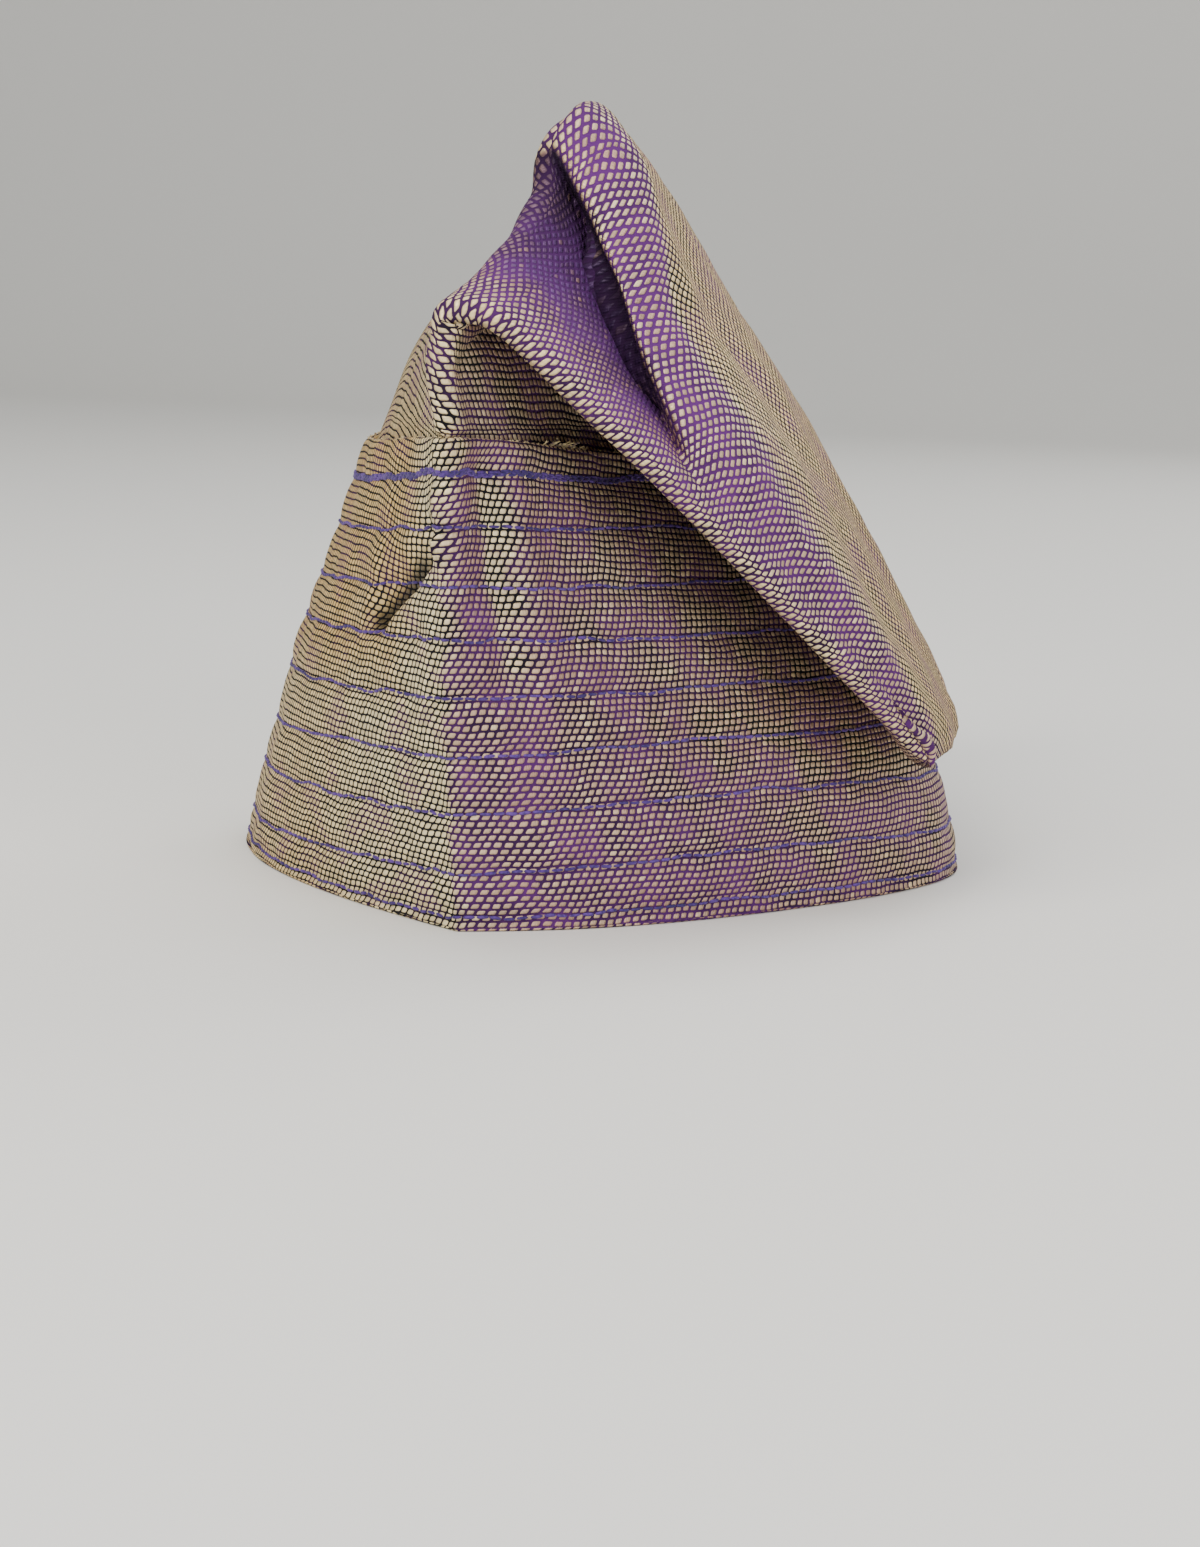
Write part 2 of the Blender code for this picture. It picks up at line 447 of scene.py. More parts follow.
def add_threads(name: str, points: np.ndarray) -> bpy.types.Object:
    """Adds closed threads as one mesh.

    Args:
        name: The object's name.
        points: Points by thread, station and side, in millimetres.

    Returns:
        The new object.
    """
    threads, stations, sides = points.shape[:3]
    base = (np.arange(threads) * stations * sides)[:, None, None]
    low = base + (np.arange(stations - 1) * sides)[None, :, None]
    side = np.arange(sides)[None, None, :]
    beside = (side + 1) % sides
    faces = np.stack([low + side, low + beside, low + sides + beside, low + sides + side], -1).reshape(-1, 4)
    caps = np.arange(sides)[None, :] + base[:, 0]
    ends = caps[:, ::-1].tolist() + (caps + (stations - 1) * sides).tolist()
    return add_mesh(name, placed(points), faces.tolist() + ends)


EDGE_FOLD = Fold("edge", 0.00, (-1, -126, 108), (-1, -126, 114), (0, -126, 118), (7, -125, 118),
                 (24, -115, 102), (38, -104, 87), (60, -79, 59), (80, -50, 32))
BACK_FOLD = Fold("back", 1.00, (-3, 126, 99), (-3, 127, 102), (-3, 127, 105), (1, 128, 103),
                 (9, 127, 92), (15, 125, 80), (25, 119, 58), (33, 112, 38))

# The tone at the back crease of the inner side, the same all the way down the crown, with a little painted
# shade.
INNER_BACK = Tone(1, 0.5, 0.2, 0.25, 0.1)


@dataclass
class TubeForm:
    """The folded tube of cloth: its standing ovals and the folds that hang over, as the solids have them."""

    flap_room: float = 5.6
    dent_start: float = 4.0
    ovals: tuple[Oval, ...] = (
        Oval(0, -104.0, 104.0, 76.5, 75.5),
        Oval(24, -110.0, 109.0, 70.0, 69.0),
        Oval(48, -116.0, 114.0, 62.7, 55.5),
        Oval(75, -121.5, 119.0, 51.7, 35.0),
        Oval(96, -123.5, 122.5, 43.0, 20.0),
    )
    outer_folds: tuple[Fold, ...] = (
        EDGE_FOLD,
        Fold("front", 0.09, (-8, -107, 113), (1, -110, 118), (6, -112, 125), (12, -111, 122), (27, -106, 105),
             (41, -101, 89), (62, -77, 61), (81, -49, 32)),
        Fold("valley", 0.17, (-13, -91, 115), (4, -87, 128), (8, -84, 142), (13, -78, 134), (26, -77, 107),
             (41, -98, 90), (63, -75, 62), (82, -48, 31)),
        Fold("lip", 0.22, (-17, -80, 116), (2, -80, 134), (6, -81, 150), (12, -83, 143), (29, -93, 112),
             (42, -97, 92), (64, -73, 63), (82, -47, 31)),
        Fold("strip", 0.29, (-21, -66, 117), (0, -68, 138), (9, -77, 158), (17, -79, 150), (32, -90, 114),
             (47, -91, 95), (66, -71, 64), (82, -46, 32)),
        Fold("shoulder", 0.37, (-26, -50, 117), (-5, -52, 138), (8, -62, 160), (19, -68, 152), (34, -82, 118),
             (49, -82, 97), (67, -66, 66), (83, -43, 33)),
        Fold("side", 0.50, (-30, -22, 117), (-12, -24, 138), (1, -28, 156), (10, -28, 151), (29, -30, 123),
             (45, -25, 99), (66, -19, 62), (83, -22, 32)),
        Fold("rear", 0.74, (-26, 50, 112), (-15, 50, 126), (-5, 50, 137), (2, 50, 133), (15, 50, 114),
             (32, 50, 89), (52, 50, 58), (63, 50, 36)),
        BACK_FOLD,
    )
    inner_folds: tuple[Fold, ...] = (
        EDGE_FOLD,
        Fold("under", 0.25, (10, -84, 116), (7, -83, 127), (5, -82, 133), (8, -85, 130), (22, -88, 106),
             (38, -78, 86), (59, -57, 59), (76, -42, 30)),
        Fold("inner_side", 0.50, (15, -28, 119), (10, -28, 134), (6, -28, 144), (10, -29, 140),
             (24, -30, 116), (39, -25, 94), (60, -19, 60), (76, -24, 30)),
        Fold("inner_rear", 0.74, (8, 50, 111), (3, 50, 121), (0, 50, 128), (3, 50, 125), (13, 50, 110),
             (28, 50, 87), (48, 50, 55), (58, 50, 34)),
        BACK_FOLD,
    )
    dents: tuple[Dent, ...] = (
        Dent(Side.OUTER, (3.0, 76.0), (28.0, 61.0), 2.4, 5.0),
        Dent(Side.OUTER, (3.0, 73.5), (27.0, 58.5), 1.8, 1.8),
        Dent(Side.OUTER, (4.0, 69.0), (28.0, 53.5), -0.9, 3.2),
        Dent(Side.INNER, (9.0, 88.0), (12.0, 52.0), 2.2, 6.0),
        Dent(Side.INNER, (17.0, 88.0), (19.0, 50.0), -0.9, 4.0),
    )

    def net(self, side: Side) -> np.ndarray:
        """Returns the net of points of one side, a row for each section from the rim to the seam."""
        folds = self.outer_folds if side is Side.OUTER else self.inner_folds
        rows = [[self.oval_point(oval, fold.share, side) for fold in folds] for oval in self.ovals]
        rows += [[fold[i] for fold in folds] for i in range(2, len(Fold._fields))]
        return np.array(rows, float)

    @staticmethod
    def oval_point(oval: Oval, share: float, side: Side) -> Point:
        """Returns the point of a standing oval at a share of the way from the front crease to the back."""
        angle = np.pi * share
        half_length = (oval.back - oval.front) / 2
        breadth = oval.right if side is Side.INNER else -oval.left
        along = (oval.front + oval.back) / 2 - half_length * np.cos(angle)
        return breadth * np.sin(angle) ** 2, along, oval.height

    @staticmethod
    def knots(net: np.ndarray, axis: int) -> np.ndarray:
        """Returns where each row or column lies, from 0 to 1, by the square root of the chords."""
        places = np.concatenate([[0.0], np.cumsum(np.sqrt(steps(net, axis)).mean(axis=1 - axis))])
        return places / places[-1]

    def row_knots(self) -> np.ndarray:
        """Returns where each row of the net lies along the tube, the same for both sides."""
        return self.knots(np.concatenate([self.net(Side.OUTER), self.net(Side.INNER)], axis=1), 0)

    @staticmethod
    def smooth(knots: np.ndarray, points: np.ndarray, wanted: np.ndarray) -> np.ndarray:
        """Returns a smooth curve through points, with parabolic ends.

        Args:
            knots: Where each point lies.
            points: The points, along the first axis.
            wanted: Where the curve is wanted.

        Returns:
            A point for each wanted place, along the first axis.
        """
        column = (-1,) + (1,) * (points.ndim - 1)
        gaps = np.diff(knots).reshape(column)
        slopes = np.diff(points, axis=0) / gaps
        tangents = np.zeros_like(points)
        tangents[1:-1] = (slopes[:-1] * gaps[1:] + slopes[1:] * gaps[:-1]) / (gaps[1:] + gaps[:-1])
        tangents[0] = 2 * slopes[0] - tangents[1]
        tangents[-1] = 2 * slopes[-1] - tangents[-2]
        first = np.clip(np.searchsorted(knots, wanted) - 1, 0, len(knots) - 2)
        gap = np.diff(knots)[first].reshape(column)
        t = (wanted - knots[first]).reshape(column) / gap
        return (
            (2 * t**3 - 3 * t**2 + 1) * points[first]
            + (t**3 - 2 * t**2 + t) * gap * tangents[first]
            + (3 * t**2 - 2 * t**3) * points[first + 1]
            + (t**3 - t**2) * gap * tangents[first + 1]
        )

    def sides(self, rows: np.ndarray, across: np.ndarray) -> list[np.ndarray]:
        """Returns the outer and the inner side of the tube.

        Args:
            rows: Where along the tube, as row_knots counts.
            across: Where across each side, from 0 at the front crease to 1 at the back.

        Returns:
            The points of the outer and of the inner side, by row and place across, in millimetres.
        """
        found = []
        for net in map(self.net, Side):
            lengthwise = self.smooth(self.row_knots(), net, rows).swapaxes(0, 1)
            found.append(self.smooth(self.knots(net, 1), lengthwise, across).swapaxes(0, 1))
        return found

    def open_fold(self, outer: np.ndarray, inner: np.ndarray) -> tuple[np.ndarray, np.ndarray]:
        """Keeps the two sides of the folded cloth apart, with a narrow end at the front and back creases.

        Args:
            outer: The points of the outer side.
            inner: The points of the inner side.

        Returns:
            Both sides, moved apart.
        """
        ends = np.linalg.norm(outer - outer[:, :1], axis=-1)
        ends = np.minimum(ends, np.linalg.norm(outer - outer[:, -1:], axis=-1))
        radius = self.flap_room / 2
        room = np.sqrt(np.maximum(radius**2 - (radius - np.minimum(ends, radius)) ** 2, 0.0))
        middle, half = (outer + inner) / 2, (outer - inner) / 2
        normal = square_to(middle)
        normal *= np.sign((half * normal).sum())
        depth = (half * normal).sum(axis=-1)
        half += np.maximum(room - depth, 0.0)[..., None] * normal
        return middle + half, middle - half

    def press_dents(self, points: np.ndarray, side: Side) -> np.ndarray:
        """Returns one standing side's points with its dents pressed in."""
        inward = np.array([-side.value, 0.25, 0.0])
        along = np.linalg.norm((points - points[:, :1])[..., :2], axis=-1)
        for dent in self.dents:
            if dent.side is side:
                away = beside_line(np.stack([along, points[..., 2]], axis=-1), dent.start, dent.end)[1]
                depth = dent.depth * np.exp(-((away / dent.width) ** 2))
                points = points + (depth * np.minimum(along / self.dent_start, 1.0))[..., None] * inward
        return points

    def standing(self, heights: np.ndarray, across: np.ndarray) -> np.ndarray:
        """Returns level strips of the standing cloth, from the back crease past the front one and on.

        Args:
            heights: The height of each strip, in millimetres.
            across: The places across each side.

        Returns:
            The points by height and place round the strip.
        """
        rows = np.interp(heights, [oval.height for oval in self.ovals], self.row_knots()[: len(self.ovals)])
        outer, inner = self.sides(rows, across)
        outer[..., 2] = inner[..., 2] = heights[:, None]
        return self.strip(self.press_dents(outer, Side.OUTER), self.press_dents(inner, Side.INNER))

    @staticmethod
    def strip(outer: np.ndarray, inner: np.ndarray) -> np.ndarray:
        """Joins both sides in a strip that starts and ends at the back crease."""
        return np.concatenate([outer[:, ::-1], inner[:, 1:]], axis=1)


@dataclass(frozen=True)
class ShotCloth:
    """Hand-loomed shot cloth: flat gold metallised floats over a violet and black cotton ground.

    Each float is a soft cushion, set half a float over in the next row. The floats shine like metal, and a
    few carry a painted glint. Their cream, gold or mauve and the violet of the gaps come from the tones,
    which paint the shot cloth's sheen place by place, and painted shade darkens creases and the cloth under
    the flap. The ground shows as dark or violet gaps between the floats. Lengths are in millimetres, and the
    cushion's own measures are shares of a float.
    """

    name: str = "woven_gold_and_violet_cotton"
    float_length: float = 1.8
    row_pitch: float = 1.42
    strand_pitch: float = 0.43
    strand_relief: float = 0.08
    slant: float = -0.35
    core: float = 0.16
    edge: tuple[float, float] = (0.266, 0.166)
    foot: float = 0.38
    violet_shrink: float = 0.065
    cream: str = "#faeabc"
    gold: str = "#e3b661"
    mauve: str = "#c09a86"
    violet: str = "#7b5393"
    dark_gap: str = "#121118"
    violet_gap: str = "#5c2a6e"
    metallic: float = 0.30
    float_roughness: float = 0.42
    gap_roughness: float = 0.95
    specular: float = 0.2
    # Floats whose random chance lies above this carry a painted glint.
    painted_glint_share: float = 0.92

    def build(self) -> bpy.types.Material:
        """Returns the cloth's material."""
        material, add, shader = new_material(self.name)
        places = add("UVMap", output="UV", uv_map="weave")
        mauve, yellow, violet, depth = (
            add("Attribute", output="Fac", attribute_name=tone) for tone in Tone._fields[1:]
        )
        own, away = self.floats(add, places)
        size = add("Math", (violet, self.violet_shrink, away), operation="MULTIPLY_ADD")
        top = add("MapRange", (size, *self.edge), interpolation_type="SMOOTHSTEP")
        dome = add("MapRange", (size, self.foot, 0.0), interpolation_type="SMOOTHERSTEP")
        chance = add("TexWhiteNoise", {"Vector": own}, "Value", noise_dimensions="3D")
        patch = add("TexNoise", {"Vector": places, "Scale": 0.09, "Detail": 3.0}, "Fac")
        lean = add("MapRange", (patch, 0.35, 0.65, -0.12, 0.12))
        # Painted glints: a few floats, picked at random, turn paler as though they caught the light.
        painted_glint = add("MapRange", (chance, self.painted_glint_share, 0.98, 0.0, -0.22))
        yellow = add("Math", (yellow, lean), operation="ADD", use_clamp=True)
        lean = add("Math", (lean, painted_glint), operation="ADD")
        mauve = add("Math", (mauve, lean), operation="ADD", use_clamp=True)
        pale = add("MapRange", (mauve, 0.0, 0.6))
        rich = add("MapRange", (mauve, 0.6, 1.0))
        colour = linear(self.cream)
        for share, shown in ((yellow, self.gold), (pale, self.mauve), (rich, self.violet)):
            mixed = {"Factor": share, "A": colour, "B": linear(shown)}
            colour = add("Mix", mixed, "Result", data_type="RGBA")
        # Each float is a little lighter or darker at random, and the brightest are the floats with painted
        # glints.
        shade = add("MapRange", (chance, 0.0, 1.0, 0.74, 1.10))
        colour = add("VectorMath", {0: colour, "Scale": shade}, operation="SCALE")
        stain = add("MapRange", (patch, 0.40, 0.62, -0.30, 0.25))
        stain = add("Math", (violet, stain), operation="ADD", use_clamp=True)
        gaps = {"Factor": stain, "A": linear(self.dark_gap), "B": linear(self.violet_gap)}
        gaps = add("Mix", gaps, "Result", data_type="RGBA")
        colour = add("Mix", {"Factor": top, "A": gaps, "B": colour}, "Result", data_type="RGBA")
        # Painted shade: the depth tone darkens the cloth's colour where shade falls, in creases and under the
        # flap.
        painted_shade = add("MapRange", (depth, 0.0, 1.0, 1.0, 0.06))
        colour = add("VectorMath", {0: colour, "Scale": painted_shade}, operation="SCALE")
        strands = add("VectorMath", (places, (2 * np.pi / self.strand_pitch, 0.0, 0.0)), operation="MULTIPLY")
        strands = add("VectorMath", (strands,), operation="SINE")
        strands = add("SeparateXYZ", (strands,), "X")
        height = add("Math", (strands, self.strand_relief, dome), operation="MULTIPLY_ADD")
        set_inputs(shader, {
            "Base Color": colour,
            "Normal": add("Bump", {"Strength": 0.8, "Distance": 0.0004, "Height": height}),
            "Metallic": add("Math", (top, self.metallic), operation="MULTIPLY"),
            "Roughness": add("MapRange", (top, 0.0, 1.0, self.gap_roughness, self.float_roughness)),
            "Specular IOR Level": self.specular,
        })
        return material

    def floats(self, add: partial, places: Socket) -> tuple[Socket, Socket]:
        """Lays the floats out in rows, each half a float over from the last.

        Args:
            add: What adds a node to the material.
            places: Where on the cloth, in millimetres.

        Returns:
            Which float it is, and how far from the float's core it lies.
        """
        sway = add("TexNoise", {"Vector": places, "Scale": 0.12, "Detail": 1.0}, "Color")
        sway = add("VectorMath", (sway, (0.5, 0.5, 0.5)), operation="SUBTRACT")
        moved = add("VectorMath", (sway, (1.4, 1.1, 0.0), places), operation="MULTIPLY_ADD")
        pitch = (1 / self.float_length, 1 / self.row_pitch, 0.0)
        cells = add("VectorMath", (moved, pitch), operation="MULTIPLY")
        across, down = (add("SeparateXYZ", (cells,), axis) for axis in "XY")
        row = add("Math", (down,), operation="FLOOR")
        along = add("Math", (row, 0.5, across), operation="MULTIPLY_ADD")
        rise = add("Math", (down,), operation="FRACT")
        along = add("Math", (rise, self.slant, along), operation="MULTIPLY_ADD")
        cell = add("CombineXYZ", (along, down))
        own = add("VectorMath", (cell,), operation="FLOOR")
        inside = add("VectorMath", (cell,), operation="FRACTION")
        inside = add("VectorMath", (inside, (0.5, 0.5, 0.0)), operation="SUBTRACT")
        inside = add("VectorMath", (inside,), operation="ABSOLUTE")
        core = add("VectorMath", (inside, (self.core, self.core, 0.0)), operation="SUBTRACT")
        core = add("VectorMath", (core, (0.0, 0.0, 0.0)), operation="MAXIMUM")
        return own, add("VectorMath", (core,), "Value", operation="LENGTH")


@dataclass(frozen=True)
class Yarn:
    """A matt, slightly fuzzy yarn whose tone wanders along it. Scales are in blotches a metre."""

    name: str
    light: str
    dark: str
    fuzz: float
    blotches: float | None
    shown: tuple[float, float]
    relief: float
    roughness: float
    sheen: float = 0.0
    detail: float = 2.0
    fuzz_height: float = 0.0001

    def build(self) -> bpy.types.Material:
        """Returns the yarn's material."""
        material, add, shader = new_material(self.name)
        place = add("TexCoord", output="Object")
        fuzz = add("TexNoise", {"Vector": place, "Scale": self.fuzz, "Detail": self.detail}, "Fac")
        tone = fuzz
        if self.blotches:
            broad = add("TexNoise", {"Vector": place, "Scale": self.blotches, "Detail": self.detail}, "Fac")
            tone = add("Math", (fuzz, broad), operation="MULTIPLY")
        tone = add("MapRange", (tone, *self.shown))
        mixed = {"Factor": tone, "A": linear(self.dark), "B": linear(self.light)}
        set_inputs(shader, {
            "Base Color": add("Mix", mixed, "Result", data_type="RGBA"),
            "Normal": add("Bump", {"Strength": self.relief, "Distance": self.fuzz_height, "Height": fuzz}),
            "Roughness": self.roughness,
            "Sheen Weight": self.sheen,
        })
        return material


# Spun polyester sewing thread: matt and blue-violet, with a little fuzz.
SPUN_THREAD = Yarn("spun_violet_thread", "#5e3a92", "#281458", 1500.0, 90.0, (0.15, 0.38), 0.5, 0.72, 0.12)
# Loose gold weft yarn from the raw edge: paler and rougher than the woven floats, with dark violet ends.
LOOSE_YARN = Yarn("loose_gold_yarn", "#d3c292", "#5b4456", 700.0, None, (0.38, 0.55), 0.4, 0.6)


@dataclass
class Crown:
    """The closed tube of cloth, from the rim over the ridge to the seam of the flap."""

    form: TubeForm
    wall: float = 1.5
    rim: float = 1.0
    places_across: int = 140
    standing_step: float = 4.0
    rows_between: int = 14
    crease_room: float = 4.0
    crease_wall: float = 0.2
    folded_wall: float = 0.6
    shown_rows: int = 3
    matched_rows: int = 3
    pattern_steps: tuple[int, int] = (3, 4)
    seam_pinch: float = 6.0
    seam_room: float = 0.45
    pleat_end: float = 4.7
    pleat_fade: float = 0.7
    pleat_reach: int = 9
    pleat_share: float = 0.45
    swells: tuple[Swell, ...] = (Swell(0.35, 34.0, 3), Swell(0.18, 13.0, 4))
    # Stations count the folds of the table up from the top of the standing cloth. Places go round by the
    # share of each side from the front crease, with the outer side below nought. The floats' tones are the
    # threads' own colours, set place by place to paint the shot cloth's sheen: gold where the cloth faces the
    # light, mauve and violet where it turns from it. The last number is painted shade, deep in the valley
    # behind the lip and lighter on the inner side under the flap.
    tones: tuple[ToneRow, ...] = (
        ToneRow(0, (
            Tone(-1, 0.05, 0.55, 0.05), Tone(-0.2, 0.05, 0.55, 0.05), Tone(-0.08, 0, 0.15, 0.05),
            Tone(0, 0.05, 0.15, 0.1), Tone(0.06, 0.35, 0.05, 0.4, 0.15), Tone(1, 0.35, 0.05, 0.4, 0.1))),
        ToneRow(1.8, (
            Tone(-1, 0.1, 0.45, 0.1), Tone(-0.3, 0.15, 0.55, 0.15), Tone(-0.2, 0.35, 0.35, 0.35),
            Tone(-0.09, 0.45, 0.1, 0.7), Tone(-0.02, 0.1, 0.15, 0.5), Tone(0, 0, 0.3, 0.3),
            Tone(0.03, 0.45, 0.2, 0.2, 0.3), INNER_BACK)),
        ToneRow(3.2, (
            Tone(-1, 0.1, 0.8, 0.3), Tone(-0.5, 0.1, 0.8, 0.3), Tone(-0.39, 0, 0.8, 0.2),
            Tone(-0.376, 0, 0.55, 0.25), Tone(-0.366, 0.46, 0.1, 0.9), Tone(-0.26, 0.48, 0.05, 0.95),
            Tone(-0.24, 0.2, 0.25, 0.7), Tone(-0.229, 0, 0.5, 0.4), Tone(-0.219, 0.9, 0, 0.8, 0.99),
            Tone(-0.18, 1, 0, 0.95, 0.84), Tone(-0.14, 1, 0, 1, 0.55), Tone(-0.1, 0.95, 0, 1, 0.2),
            Tone(-0.07, 0.6, 0.05, 0.95), Tone(-0.03, 0.4, 0.15, 0.8), Tone(0, 0, 0.35, 0.5),
            Tone(0.03, 0.45, 0.2, 0.3, 0.3), INNER_BACK)),
        ToneRow(5.2, (
            Tone(-1, 0.1, 0.8, 0.3), Tone(-0.5, 0.1, 0.75, 0.3), Tone(-0.39, 0, 0.6, 0.2),
            Tone(-0.376, 0, 0.4, 0.15), Tone(-0.366, 0.46, 0.1, 0.9), Tone(-0.26, 0.48, 0.05, 0.95),
            Tone(-0.24, 0.2, 0.15, 0.8), Tone(-0.229, 0, 0.3, 0.5), Tone(-0.216, 0.95, 0, 0.95, 0.95),
            Tone(-0.17, 1, 0, 1, 0.55), Tone(-0.13, 1, 0, 1, 0.2), Tone(-0.09, 0.7, 0, 1),
            Tone(-0.04, 0.38, 0.15, 0.85), Tone(0, 0, 0.35, 0.5), Tone(0.03, 0.45, 0.2, 0.3, 0.3),
            INNER_BACK)),
        ToneRow(5.9, (
            Tone(-1, 0.1, 0.8, 0.3), Tone(-0.5, 0.1, 0.75, 0.3), Tone(-0.385, 0, 0.45, 0.2),
            Tone(-0.376, 0, 0.3, 0.15), Tone(-0.366, 0.45, 0.05, 0.9), Tone(-0.2, 0.42, 0.1, 0.95),
            Tone(-0.05, 0.32, 0.15, 0.85), Tone(0, 0, 0.3, 0.5), Tone(0.03, 0.45, 0.2, 0.4, 0.2),
            INNER_BACK)),
        ToneRow(8, (
            Tone(-1, 0.1, 0.8, 0.3), Tone(-0.5, 0.1, 0.75, 0.3), Tone(-0.37, 0.1, 0.6, 0.2),
            Tone(-0.33, 0.42, 0.15, 0.6), Tone(-0.1, 0.4, 0.2, 0.75), Tone(0, 0.05, 0.35, 0.4),
            Tone(0.03, 0.45, 0.2, 0.3, 0.2), INNER_BACK)),
    )

    def build(self) -> bpy.types.Object:
        """Returns the crown's cloth with its wall."""
        across = np.linspace(0.0, 1.0, self.places_across)
        knots = self.form.row_knots()
        first = len(self.form.ovals) - 1
        top = self.form.ovals[-1].height
        standing = self.form.standing(np.append(np.arange(self.rim, top, self.standing_step), top), across)
        stations = np.arange(1, (len(knots) - 1 - first) * self.rows_between + 1) / self.rows_between
        rows = np.interp(stations, np.arange(len(knots) - first), knots[first:])
        outer, inner = self.form.open_fold(*self.form.sides(rows, across))
        folded = self.form.strip(*self.pinch_seam(self.ease_pleat(outer), inner))
        points = np.concatenate([standing, folded])
        weave = cloth_lengths(points, self.places_across - 1)
        hidden = len(standing) - self.shown_rows
        weave[hidden:] = self.laid_flat(points[hidden:], weave[hidden:])
        points = self.soften(points, weave, len(standing))
        crown = add_cloth("crown_cloth", points, weave, self.blended(points, len(standing)), False)
        self.thicken(crown, points, len(standing))
        return crown

    def ease_pleat(self, outer: np.ndarray) -> np.ndarray:
        """Lets the pleat beside the lip run out softly above the end of the flap."""
        rows, places = (np.arange(count) for count in outer.shape[:2])
        share = np.clip(((rows + 1) / self.rows_between - self.pleat_end) / self.pleat_fade, 0.0, 1.0)
        soft = np.stack([evened(outer[..., i], 1, self.pleat_reach) for i in range(3)], axis=-1)
        front = np.clip(places / self.pleat_reach, 0.0, 1.0)
        front *= places < self.places_across * self.pleat_share
        return outer + share[:, None, None] * front[None, :, None] * (soft - outer)

    def laid_flat(self, points: np.ndarray, lengths: np.ndarray) -> np.ndarray:
        """Lays the cloth out flat, cut open at the back crease, so that its weave stays square over the fold.

        Args:
            points: The crown's shown points by row and place round.
            lengths: How far along the cloth each point lies.

        Returns:
            The weave's two lengths in millimetres at each point.
        """
        kept = [np.unique(np.append(np.arange(0, count, step), count - 1))
                for count, step in zip(points.shape[:2], self.pattern_steps)]
        coarse = points[np.ix_(*kept)]
        rows, places = coarse.shape[:2]
        corner = np.arange(rows * places).reshape(rows, places)
        faces = np.stack([corner[:-1, :-1], corner[1:, :-1], corner[1:, 1:], corner[:-1, 1:]], -1)
        faces = faces.reshape(-1, 4)
        pattern = add_mesh("pattern", coarse.reshape(-1, 3).tolist(), faces.tolist())
        mesh = pattern.data
        mesh.uv_layers.new(name="flat")
        bpy.context.view_layer.objects.active = pattern
        bpy.ops.object.mode_set(mode="EDIT")
        bpy.ops.mesh.select_all(action="SELECT")
        bpy.ops.uv.unwrap(method="MINIMUM_STRETCH", iterations=30, margin=0.0)
        bpy.ops.object.mode_set(mode="OBJECT")
        found = np.empty(len(mesh.loops) * 2, np.float32)
        mesh.uv_layers["flat"].data.foreach_get("uv", found)
        flat = np.empty(rows * places, complex)
        flat[faces.ravel()] = found[0::2] + 1j * found[1::2]
        bpy.data.objects.remove(pattern)
        bpy.data.meshes.remove(mesh)
        return self.spread(self.turned(flat.reshape(rows, places), coarse, lengths[np.ix_(*kept)]), kept)

    def turned(self, flat: np.ndarray, cloth: np.ndarray, lengths: np.ndarray) -> np.ndarray:
        """Turns the flat cloth to the lengths of its lowest rows, and gives it the real cloth's size.

        Args:
            flat: The flat cloth as complex numbers.
            cloth: The same points as they hang.
            lengths: How far along the cloth each of them lies.

        Returns:
            The two lengths at each point of the flat cloth.
        """
        rows = slice(0, self.matched_rows)
        goal = (lengths[rows, :, 0] + 1j * lengths[rows, :, 1]).ravel()
        fits = []
        for candidate in (flat, flat.conj()):
            terms = np.stack([candidate[rows].ravel(), np.ones(goal.size)], axis=-1)
            factors = np.linalg.lstsq(terms, goal, rcond=None)[0]
            fits.append((np.abs(terms @ factors - goal).mean(), candidate * factors[0] + factors[1]))
        flat = min(fits, key=lambda fit: fit[0])[1]
        sizes = np.concatenate([(steps(cloth, i) / np.abs(np.diff(flat, axis=i))).ravel() for i in (0, 1)])
        LOG.info("the cloth is from %.2f to %.2f times its flat size", *np.percentile(sizes, (5, 95)))
        flat = flat * np.median(sizes)
        return np.stack([flat.real, flat.imag], axis=-1)

    @staticmethod
    def spread(values: np.ndarray, kept: list[np.ndarray]) -> np.ndarray:
        """Spreads values from the kept rows and places to all of them."""
        for marks in kept:
            values = TubeForm.smooth(marks.astype(float), values, np.arange(marks[-1] + 1.0)).swapaxes(0, 1)
        return values

    def pinch_seam(self, outer: np.ndarray, inner: np.ndarray) -> tuple[np.ndarray, np.ndarray]:
        """Draws both sides together where the end of the flap is sewn shut."""
        middle, half = (outer + inner) / 2, (outer - inner) / 2
        share = np.clip(np.linalg.norm(middle[-1:] - middle, axis=-1) / self.seam_pinch, 0.0, 1.0)
        half = half * (self.seam_room + (1 - self.seam_room) * np.sqrt(share))[..., None]
        return middle + half, middle - half

    def soften(self, points: np.ndarray, weave: np.ndarray, standing: int) -> np.ndarray:
        """Adds the slight unevenness of handled cloth above the band.

        Args:
            points: The crown's points.
            weave: The cloth's two lengths at each point.
            standing: How many rows stand behind the band.

        Returns:
            The moved points.
        """
        depth = unevenness(weave[..., 0], weave[..., 1], self.swells)
        grown = np.clip((np.arange(len(points)) - standing) / (2 * self.rows_between), 0.0, 1.0)[:, None]
        creases = np.abs(np.sin(np.linspace(0.0, 2 * np.pi, points.shape[1])))
        return points + (depth * grown * np.minimum(creases * 5, 1.0))[..., None] * square_to(points)

